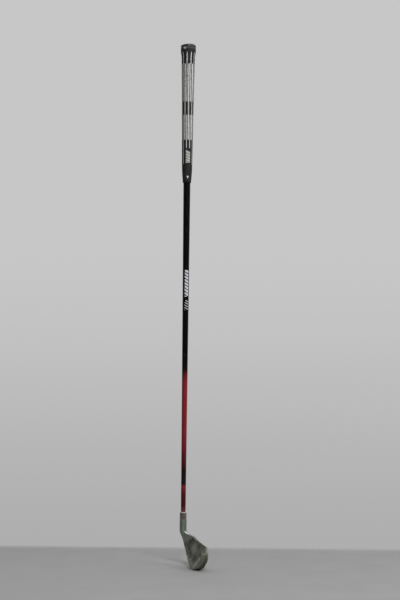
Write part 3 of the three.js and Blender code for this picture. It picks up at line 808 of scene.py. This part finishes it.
# Colour of the pale ring that paints the highlight on the ferrule's rim.
FERRULE_RIM_HIGHLIGHT = (0.42, 0.41, 0.39, 1)
FERRULE_COATS = [
    ("scuffs", 0.40, 0.00, FERRULE_SCUFF),
    ("haze", 0.20, 0.00, FERRULE_SCUFF),
    # pale ring painted as the rim's highlight
    ("rim_highlight", 0.75, 0.40, FERRULE_RIM_HIGHLIGHT),
]
RIM_FADE = 0.15
FERRULE_ROUGHNESS = 0.26
HAZE_ROUGHENING = 0.12
SCUFF_ROUGHENING = 0.25
TURNING_SHARE = 0.7
TURNING_DEPTH = 0.01
PLASTIC_IOR = 1.49


def ferrule_finish():
    plastic = Finish("buffed_plastic")
    down = plastic.axis("Z") * -1.0 - outline_of("ferrule")[0][0]
    marks = {
        "haze": plastic.noise(5.0),
        "scuffs": plastic.flecks(1.6, 0.58, 0.70, detail=4.0),
        # The pale ring at the rim, a painted highlight.
        "rim_highlight": 1 - plastic.ease(down, RIM_HEIGHT, RIM_HEIGHT + RIM_FADE),
    }
    tone = plastic.coats(FERRULE_BLACK, marks, FERRULE_COATS, marks["haze"])
    rough = FERRULE_ROUGHNESS + marks["haze"] * HAZE_ROUGHENING
    rough = rough + marks["scuffs"] * SCUFF_ROUGHENING
    turned = plastic.noise(0.8, detail=2.0, stretch=(40.0, 40.0, 0.5))
    height = turned * TURNING_SHARE + marks["scuffs"] * (1 - TURNING_SHARE)
    normal = plastic.relief(height, TURNING_DEPTH)
    return plastic.set(Base_Color=tone, Roughness=rough, Normal=normal, IOR=PLASTIC_IOR)


wear_finish(ferrule, "ferrule", ferrule_finish())

# %% [markdown]
# ## The painted shaft
#
# The shaft is graphite under paint and a thick clear coat. It is black for two thirds of its
# length, fades to a deep red, and goes dark again above the head with two short red bands. The
# clear coat is duller between those bands. The fades are sprayed, so noise moves their edges and
# makes them soft and grainy. Halfway down are two short runs of slanted white bars, a plain
# decoration whose print has begun to wear. Each bar is where the fraction of a slanted height is
# small, which draws a whole run in one formula.

# %% Sprayed red
RED_START = 615.0
RED_FULL = 647.0
RED_DARKENS = 740.0
RED_END = 828.0
LOW_BANDS = [  # start, end, strength of the red
    (828.0, 840.0, 0.03), (842.0, 853.0, 0.80), (853.0, 866.0, 0.26), (866.0, 878.0, 0.10),
    (882.0, 892.0, 0.48),
]
BAND_FADE = 4.0
GRAIN_REACH = 9.0
WISP_REACH = 16.0


def sprayed_red(paint, down):
    """The long red fade, and the same with the short bands above the head added."""
    grain = (paint.noise(0.9, detail=4.0) - 0.5) * GRAIN_REACH
    wisp = (paint.noise(6.0, detail=4.0, stretch=(1.0, 1.0, 2.6)) - 0.5) * WISP_REACH
    sprayed = down + grain + wisp
    fade = paint.ease(sprayed, RED_START, RED_FULL)
    fade = fade * (1 - paint.ease(sprayed, RED_DARKENS, RED_END))
    total = fade
    for start, end, strength in LOW_BANDS:
        band = paint.between(down + grain * 0.5, start, end, BAND_FADE)
        total = paint.larger(total, band * strength)
    return fade, total


print("red from", RED_START, "to", RED_END, "mm, then", len(LOW_BANDS), "bands")

# %% White bars
MARK_TURN = math.radians(3)
MARK_HALF_SPAN = math.radians(33)
MARK_RUNS = [(431.5, 482.0, 6.2, 0.68), (489.0, 507.5, 4.9, 0.32)]  # start, end, pitch, filled
MARK_SLANT = 3.4
MARK_RUN_EDGE = 0.15
MARK_SIDE_EDGE = 0.04


def turn_about_axis(finish, start):
    """Angle round the shaft in radians, from the start, between -pi and pi."""
    x, y = finish.axis("X"), finish.axis("Y")
    ahead = x * math.cos(start) + y * math.sin(start)
    aside = y * math.cos(start) - x * math.sin(start)
    return finish.node("Math", {"operation": "ARCTAN2"}, {0: aside, 1: ahead})


def white_bars(paint, down):
    turn = turn_about_axis(paint, MARK_TURN)
    bars = 0.0
    for start, end, pitch, filled in MARK_RUNS:
        slanted = (down - start - turn * MARK_SLANT) / pitch
        run = paint.between(down, start, end, MARK_RUN_EDGE)
        bars = bars + run * (slanted.fraction() < filled)
    beside = paint.ease(abs(turn), MARK_HALF_SPAN, MARK_HALF_SPAN + MARK_SIDE_EDGE)
    return bars * (1 - beside)


print(len(MARK_RUNS), "runs of bars")

# %% Shaft finish
SHAFT_BLACK = (0.0014, 0.0014, 0.0017, 1)
SHAFT_RED = (0.215, 0.017, 0.023, 1)
SHAFT_DEEP_RED = (0.070, 0.006, 0.004, 1)
MARK_WHITE = (0.60, 0.60, 0.66, 1)
SHAFT_COATS = [
    ("red", 1.00, 0.00, SHAFT_RED),
    ("deep", 0.50, 0.00, SHAFT_DEEP_RED),
    ("bars", 0.00, 1.00, MARK_WHITE),
    ("scuffs", 0.02, 0.00, MARK_WHITE),
]
DEEP_BAND = (850.0, 880.0, 6.0)  # start, end and fade
FLAKE_SIZE = 0.18
BRIGHT_FLAKES = (0.55, 0.80)
SPARKLE = 0.35
LACQUER_ROUGHNESS = 0.42
LACQUER_ROUGHENING = 0.2
CLEAR_COAT = 0.9
CLEAR_COAT_LOSS = 0.5
RIPPLE_DEPTH = 0.05
BAR_RELIEF = 0.2


def shaft_finish():
    paint = Finish("shaft_lacquer")
    down = paint.axis("Z") * -1.0
    fade, red = sprayed_red(paint, down)
    marks = {
        "red": red,
        "deep": paint.between(down, *DEEP_BAND),
        "bars": white_bars(paint, down),
        "scuffs": paint.flecks(1.4, 0.60, 0.70, detail=5.0, stretch=(1.0, 1.0, 6.0)),
    }
    whole_print = paint.flecks(0.7, 0.30, 0.42, detail=4.0)
    tone = paint.coats(SHAFT_BLACK, marks, SHAFT_COATS, whole_print)
    flake = paint.cells(FLAKE_SIZE, out="Color").dot((0.33, 0.33, 0.33))
    sparkle = fade * paint.ease(flake, *BRIGHT_FLAKES) * SPARKLE
    ripple = paint.noise(7.0, detail=1.0, stretch=(1.0, 1.0, 3.0))
    return paint.set(
        Base_Color=tone, Metallic=sparkle,
        Roughness=LACQUER_ROUGHNESS + (sparkle + marks["scuffs"]) * LACQUER_ROUGHENING,
        Normal=paint.relief(ripple + marks["bars"] * BAR_RELIEF, RIPPLE_DEPTH),
        Coat_Weight=CLEAR_COAT - (marks["scuffs"] + marks["deep"]) * CLEAR_COAT_LOSS,
        Coat_Roughness=0.06, Specular_IOR_Level=0.05,
    )


dressed("shaft", shaft_finish())

# %% [markdown]
# ## The moulded grip
#
# The grip's mould leaves ten long grooves, which are filled with white paint, and ten shorter
# ones between them. In a ring halfway down the long ones stop for a while, and black bars show
# there in their stead. Towards the mouth a smooth panel on the toe side cuts two of them short.
# A painted pattern would be quicker, but these are real grooves, so they are cut into the skin:
# the grip is a grid of rows down the club and columns round it, with a pair of rows or columns
# at each wall.

# %% Grip pattern
PATTERN_TURN = math.radians(-3)
GROOVE_COUNT = 10
PITCH = 2 * math.pi / GROOVE_COUNT
FIRST_GROOVE = PATTERN_TURN + PITCH / 2
LONG_HALF = math.radians(4.1)
SHORT_HALF = math.radians(4.9)
WALL = math.radians(0.7)
GROOVE_DEPTH = 0.35
LONG_TOP = 13.9
LONG_POINT = 18.3
SHORT_TOP = 38.6
SHORT_END = 183.1
RING_TOP = 111.1
RING_END = 135.3
PANEL_TOP = 199.3
LONG_END = 230.1
WALL_RUN = 0.5
print("groove pitch:", round(math.degrees(PITCH)), "degrees")


# %% Groove depth
def ramp(value, start, end):
    """0 at the start, 1 at the end and straight between them, whichever of them is larger."""
    return min(max((value - start) / (end - start), 0.0), 1.0)


def within(value, first, last):
    """1 from first to last, with a wall on either side that runs down to 0."""
    return ramp(value, first - WALL_RUN, first) * ramp(value, last + WALL_RUN, last)


def groove_depth(angle, down):
    """Depth of the mould's relief at a place on the grip, in millimetres."""
    from_panel = (angle - PATTERN_TURN + math.pi) % (2 * math.pi) - math.pi
    end = PANEL_TOP if abs(from_panel) < PITCH else LONG_END
    from_long = abs((angle - FIRST_GROOVE + PITCH / 2) % PITCH - PITCH / 2)
    from_short = PITCH / 2 - from_long
    long = ramp(from_long, LONG_HALF + WALL, LONG_HALF)
    long *= ramp(down, LONG_TOP, LONG_POINT) * ramp(down, end + WALL_RUN, end)
    long *= 1 - within(down, RING_TOP + WALL_RUN, RING_END - WALL_RUN)
    short = ramp(from_short, SHORT_HALF + WALL, SHORT_HALF) * within(down, SHORT_TOP, SHORT_END)
    return GROOVE_DEPTH * max(long, short)


print("relief of a long groove:", groove_depth(FIRST_GROOVE, 60.0), "mm")

# %% Grip rows and columns
ROW_STEP = 5.0
PLAIN_MOUTH = 8.0
grip_heights, grip_bore, grip_radii = outline_of("grip")
grip_top, grip_mouth = grip_heights[0], grip_heights[-1]

rows = {*grip_heights, *np.arange(grip_top + ROW_STEP, grip_mouth - PLAIN_MOUTH, ROW_STEP)}
rows |= {LONG_TOP, LONG_POINT, SHORT_TOP - WALL_RUN, SHORT_TOP}
rows |= {RING_TOP, RING_TOP + WALL_RUN, RING_END - WALL_RUN, RING_END}
for end in (SHORT_END, PANEL_TOP, LONG_END):
    rows |= {end, end + WALL_RUN}
# An even step can miss a named row by a hair, so rounding keeps that row from coming twice.
rows = sorted({round(float(row), 2) for row in rows})

short_edge = PITCH / 2 - SHORT_HALF
half_columns = [0, LONG_HALF / 2, LONG_HALF, LONG_HALF + WALL]
half_columns += [(LONG_HALF + short_edge) / 2, short_edge - WALL, short_edge]
half_columns += [PITCH / 2 - SHORT_HALF * share for share in (2 / 3, 1 / 3)]
columns = []
for k in range(GROOVE_COUNT):
    middle = FIRST_GROOVE + k * PITCH
    columns += [middle + part for part in half_columns]
    columns += [middle + PITCH - part for part in [PITCH / 2, *half_columns[:0:-1]]]
print("grip grid:", len(rows), "rows by", len(columns), "columns")


# %% Grip skin
def grip_skin():
    rings = []
    for row in rows:
        radius = float(np.interp(row, grip_heights, grip_radii))
        depths = [groove_depth(angle, row) for angle in columns]
        rings.append(ring(radius, row, columns, depths))
    rings.append(ring(grip_bore[-1], grip_mouth, columns))
    rings.append(ring(grip_bore[0], grip_top, columns))
    return ring_grid("grip_sleeve", rings, sharp_angle=50)


grip = grip_skin()

# %% [markdown]
# ## Rubber and groove paint
#
# The paint's masks repeat the mould's formula in the shader, a little ragged at the edges. The
# rubber has a fine pimpled skin. It is greyer where hands have polished it and rubbed paint dust
# into it, and there is a paler band under the cap. On one side of that band a small pale spot is
# a painted glint. The panel holds a plain block of slanted bars, and a small triangle near the
# mouth lines the grip up.

# %% Groove paint
SHAKE_SIZE = 0.8
SHAKE_TURN = math.radians(1.2)
LONG_FILL = 0.95
SHORT_FILL = 0.97
POINT_EDGE = 0.02
END_EDGE = 0.3


def groove_paint(rubber, down, turn):
    """Where the mould's grooves are filled with paint."""
    shake = (rubber.noise(SHAKE_SIZE, detail=3.0) - 0.5) * SHAKE_TURN
    from_long = abs((turn / PITCH).fraction() - 0.5) * PITCH + shake
    from_short = PITCH / 2 - from_long
    end = (abs(turn) < PITCH) * (PANEL_TOP - LONG_END) + LONG_END
    point = rubber.ease(down, LONG_TOP - 1.0, LONG_POINT + 2.0) * LONG_HALF
    in_ring = rubber.between(down, RING_TOP + END_EDGE, RING_END - END_EDGE, END_EDGE)
    long = 1 - rubber.ease(from_long, LONG_HALF * LONG_FILL, LONG_HALF + WALL)
    long = long * rubber.ease(point - from_long, 0.0, POINT_EDGE) * (down < end)
    long = long * (1 - in_ring)
    short = 1 - rubber.ease(from_short, SHORT_HALF * SHORT_FILL, SHORT_HALF + WALL)
    short = short * rubber.between(down, SHORT_TOP, SHORT_END, END_EDGE)
    return rubber.larger(long, short)


print("painted grooves end at", PANEL_TOP, "mm on the panel, elsewhere at", LONG_END)

# %% Badge and triangle
BADGE_TOP = 205.2
BADGE_END = 227.4
BADGE_PITCH = 5.25
BADGE_FILLED = 0.80
BADGE_SLANT = 4.5
BADGE_TURN = math.radians(0.5)
BADGE_HALF = math.radians(24)
TRIANGLE_TOP = 252.4
TRIANGLE_END = 257.2
TRIANGLE_HALF = math.radians(16.5)


def badge_bars(down, turn):
    aside = turn - BADGE_TURN
    slanted = (down - BADGE_TOP - aside * BADGE_SLANT) / BADGE_PITCH
    bars = (slanted.fraction() < BADGE_FILLED) * (abs(aside) < BADGE_HALF)
    return bars * (slanted > 0.0) * (down < BADGE_END)


def lining_triangle(down, turn):
    narrowing = (TRIANGLE_END - down) * (TRIANGLE_HALF / (TRIANGLE_END - TRIANGLE_TOP))
    return (abs(turn) < narrowing) * (down > TRIANGLE_TOP)


print("badge", round(BADGE_END - BADGE_TOP, 1), "mm tall")

# %% Dust on the grip
# A paler band under the cap.
COLLAR_BAND = (6.4, 8.9, 1.2)  # start, end and fade
# A small pale spot on the collar, painted as a glint.
GLINT_PLACE = (10.9, -9.2, -8.2)
GLINT_SIZE = (1.2, 3.4)
GLINT_RAGGED = 3.0
HANDS_START = (46.0, 96.0)
HANDS_END = (178.0, 186.0)
RING_FADE = 3.0


def grip_dust(rubber, down, wear):
    """Masks of the paler collar, the painted glint and the greyer rubber under the hands."""
    ring_zone = rubber.between(down, RING_TOP, RING_END, RING_FADE)
    held = rubber.ease(down, *HANDS_START) * (1 - rubber.ease(down, *HANDS_END))
    # The painted glint.
    from_glint = rubber.distance(rubber.place, GLINT_PLACE) + (wear - 0.5) * GLINT_RAGGED
    return {
        "collar": rubber.between(down, *COLLAR_BAND),
        "painted_glint": 1 - rubber.ease(from_glint, *GLINT_SIZE),
        "hands": held * (1 - ring_zone),
        "ring": ring_zone,
    }


print("hands hold the grip from", HANDS_START[1], "to", HANDS_END[0], "mm")

# %% Grip finish
RUBBER_BLACK = (0.0055, 0.0055, 0.005, 1)
RUBBER_GREY = (0.015, 0.015, 0.014, 1)
PAINT_WHITE = (0.62, 0.62, 0.61, 1)
PAINT_DIRTY = (0.36, 0.355, 0.34, 1)
GRIP_PALE_GREY = (0.060, 0.058, 0.054, 1)
# Colour of the painted glint.
GRIP_GLINT = (0.27, 0.265, 0.25, 1)
RUBBER_COATS = [
    ("polish", 1.00, 0.00, RUBBER_GREY),
    ("hands", 0.45, 0.50, GRIP_PALE_GREY),
    ("collar", 0.10, 0.90, GRIP_PALE_GREY),
    # painted glint
    ("painted_glint", 1.00, 0.00, GRIP_GLINT),
]
PAINT_WEAR = (0.42, 0.72)
RING_DIRT = 0.7
BADGE_DIRT = 0.85
PIMPLE_SPACING = 0.95
PIMPLE_SLOPE = (0.15, 0.55)
PIMPLE_DEPTH = 0.10
SKIN_DEPTH = 0.02
RUBBER_ROUGHNESS = 0.62
DUST_ROUGHENING = 0.2
PAINT_ROUGHENING = -0.18
PIMPLE_ROUGHENING = 0.08


def grip_finish():
    rubber = Finish("moulded_rubber")
    down = rubber.axis("Z") * -1.0
    turn = turn_about_axis(rubber, PATTERN_TURN)
    wear = rubber.noise(3.0, detail=5.0)
    dust = rubber.noise(9.0, detail=5.0)
    marks = grip_dust(rubber, down, wear)
    marks["polish"] = rubber.ease(dust, 0.35, 0.75)
    badge = badge_bars(down, turn)
    printed = rubber.larger(badge, lining_triangle(down, turn))
    painted = rubber.larger(groove_paint(rubber, down, turn), printed)
    dirty = rubber.ease(wear, *PAINT_WEAR) + marks["ring"] * RING_DIRT + badge * BADGE_DIRT
    white = rubber.tint(dirty, PAINT_WHITE, PAINT_DIRTY)
    black = rubber.coats(RUBBER_BLACK, marks, RUBBER_COATS, wear)
    tone = rubber.tint(painted * rubber.flecks(0.6, 0.24, 0.36), black, white)
    pimples = (1 - rubber.ease(rubber.cells(PIMPLE_SPACING), *PIMPLE_SLOPE)) * (1 - painted)
    rough = RUBBER_ROUGHNESS + dust * DUST_ROUGHENING
    rough = rough + painted * PAINT_ROUGHENING + pimples * PIMPLE_ROUGHENING
    fine = rubber.relief(rubber.noise(0.25, detail=2.0), SKIN_DEPTH)
    normal = rubber.relief(pimples, PIMPLE_DEPTH, below=fine)
    return rubber.set(Base_Color=tone, Roughness=rough, Normal=normal, Specular_IOR_Level=0.3)


wear_finish(grip, "grip", grip_finish())

# %% [markdown]
# ## The butt cap
#
# The cap is a glossier button on the grip's end: a flat middle with a vent hole, a crown, and a
# rounded bead at the joint that catches the light. Half of its outline, turned about the shaft's
# axis, makes the whole piece. Arcs could be joined for the crown, but one cubic curve with four
# control points has no joint that could show, and its handle sets how soon the crown bends down.

# %% Cap outline
CAP_COLUMNS = 96
CAP_VENT = 1.5
CAP_VENT_EDGE = 0.4
CAP_FLAT = 8.0
CAP_CROWN = 3.4
CAP_CROWN_STEPS = 14
CAP_CROWN_HANDLE = 0.5
CAP_BEAD = 1.0
CAP_BEAD_STEPS = 8
CAP_SPIGOT = 5.7
CAP_SPIGOT_LENGTH = 9.0
CAP_GAP = 0.1


def cap_crown(edge):
    """Radius and height along the crown, from the flat middle to the side."""
    handle = 3 * CAP_CROWN_HANDLE
    points = []
    for t in np.linspace(0, 1, CAP_CROWN_STEPS):
        rest = 1 - t
        out = handle * rest * rest * t + 3 * rest * t * t + t ** 3
        fallen = handle * rest * t * t + t ** 3
        points.append((CAP_FLAT + (edge - CAP_FLAT) * out, CAP_CROWN * fallen))
    return points


def cap_outline():
    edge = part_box("butt_cap")[1].x / MM
    foot = grip_top - CAP_GAP
    spigot_end = foot + CAP_SPIGOT_LENGTH
    bead = [
        (edge - CAP_BEAD + CAP_BEAD * math.cos(a), foot - CAP_BEAD + CAP_BEAD * math.sin(a))
        for a in np.linspace(0, math.pi / 2, CAP_BEAD_STEPS)
    ]
    vent = [(CAP_VENT, CAP_VENT_EDGE), (CAP_VENT + CAP_VENT_EDGE, 0.0)]
    inside = [(CAP_SPIGOT, foot), (CAP_SPIGOT, spigot_end), (CAP_VENT, spigot_end)]
    return vent + cap_crown(edge) + bead + inside


cap_rings = [ring(radius, down, round_angles(CAP_COLUMNS)) for radius, down in cap_outline()]
cap = ring_grid("grip_button", cap_rings, sharp_angle=40)

# %% Cap finish
CAP_BLACK = (0.010, 0.010, 0.010, 1)
CAP_DUST = (0.045, 0.043, 0.040, 1)
CAP_DUST_SHARE = 0.6
CAP_SCUFF_SHARE = 0.3
CAP_ROUGHNESS = 0.30
CAP_DUST_ROUGHENING = 0.18
CAP_SCUFF_ROUGHENING = 0.2
CAP_SKIN_DEPTH = 0.015


def cap_finish():
    rubber = Finish("button_rubber")
    dust = rubber.noise(4.0, detail=5.0)
    scuffs = rubber.flecks(1.2, 0.58, 0.70, detail=4.0, stretch=(3.0, 1.0, 1.0))
    dusty = rubber.ease(dust, 0.4, 0.8) * CAP_DUST_SHARE + scuffs * CAP_SCUFF_SHARE
    tone = rubber.tint(dusty, CAP_BLACK, CAP_DUST)
    rough = CAP_ROUGHNESS + dust * CAP_DUST_ROUGHENING + scuffs * CAP_SCUFF_ROUGHENING
    normal = rubber.relief(rubber.noise(0.3, detail=2.0) + scuffs, CAP_SKIN_DEPTH)
    return rubber.set(Base_Color=tone, Roughness=rough, Normal=normal)


wear_finish(cap, "butt_cap", cap_finish())

# %% [markdown]
# ## The pieces sealed inside
#
# Nobody sees the epoxy, the swing weight or the tape in a finished club, but someone may take
# the model apart. Each gets the plain finish of the real thing: amber resin with small bubbles,
# turned brass, and creped paper tape.

# %% Epoxy
RESIN_DEEP = (0.30, 0.21, 0.08, 1)
RESIN_PALE = (0.52, 0.42, 0.20, 1)
BUBBLE_SPACING = 0.9
BUBBLE_RIM = (0.10, 0.25)
BUBBLE_DEPTH = 0.08


def epoxy_finish():
    resin = Finish("cured_epoxy")
    bubbles = 1 - resin.ease(resin.cells(BUBBLE_SPACING), *BUBBLE_RIM)
    cloud = resin.noise(3.0, detail=4.0)
    tone = resin.tint(cloud, RESIN_DEEP, RESIN_PALE)
    normal = resin.relief(1 - bubbles, BUBBLE_DEPTH)
    return resin.set(Base_Color=tone, Roughness=0.2 + cloud * 0.2, Normal=normal)


dressed("hosel_epoxy", epoxy_finish())

# %% Tip weight
BRASS_BRIGHT = (0.62, 0.42, 0.16, 1)
BRASS_TARNISHED = (0.34, 0.22, 0.10, 1)
LATHE_DEPTH = 0.02


def brass_finish():
    brass = Finish("turned_brass")
    turned = brass.noise(0.5, detail=2.0, stretch=(30.0, 30.0, 0.4))
    tarnish = brass.noise(2.5, detail=4.0)
    tone = brass.tint(tarnish, BRASS_BRIGHT, BRASS_TARNISHED)
    rough = 0.25 + tarnish * 0.2
    normal = brass.relief(turned, LATHE_DEPTH)
    return brass.set(Base_Color=tone, Metallic=1.0, Roughness=rough, Normal=normal)


dressed("tip_weight", brass_finish())

# %% Grip tape
PAPER_DARK = (0.46, 0.38, 0.24, 1)
PAPER_PALE = (0.70, 0.62, 0.44, 1)
CREPE_DEPTH = 0.05


def tape_finish():
    paper = Finish("creped_paper")
    crepe = paper.noise(0.7, detail=3.0, stretch=(1.0, 1.0, 4.0))
    blot = paper.noise(8.0, detail=3.0)
    tone = paper.tint(crepe * 0.6 + blot * 0.4, PAPER_DARK, PAPER_PALE)
    normal = paper.relief(crepe, CREPE_DEPTH)
    return paper.set(Base_Color=tone, Roughness=0.75 + blot * 0.2, Normal=normal)


dressed("grip_tape", tape_finish())

# %% [markdown]
# ## The sizes
#
# The box that CAD gave is measured and printed at the start, in millimetres.
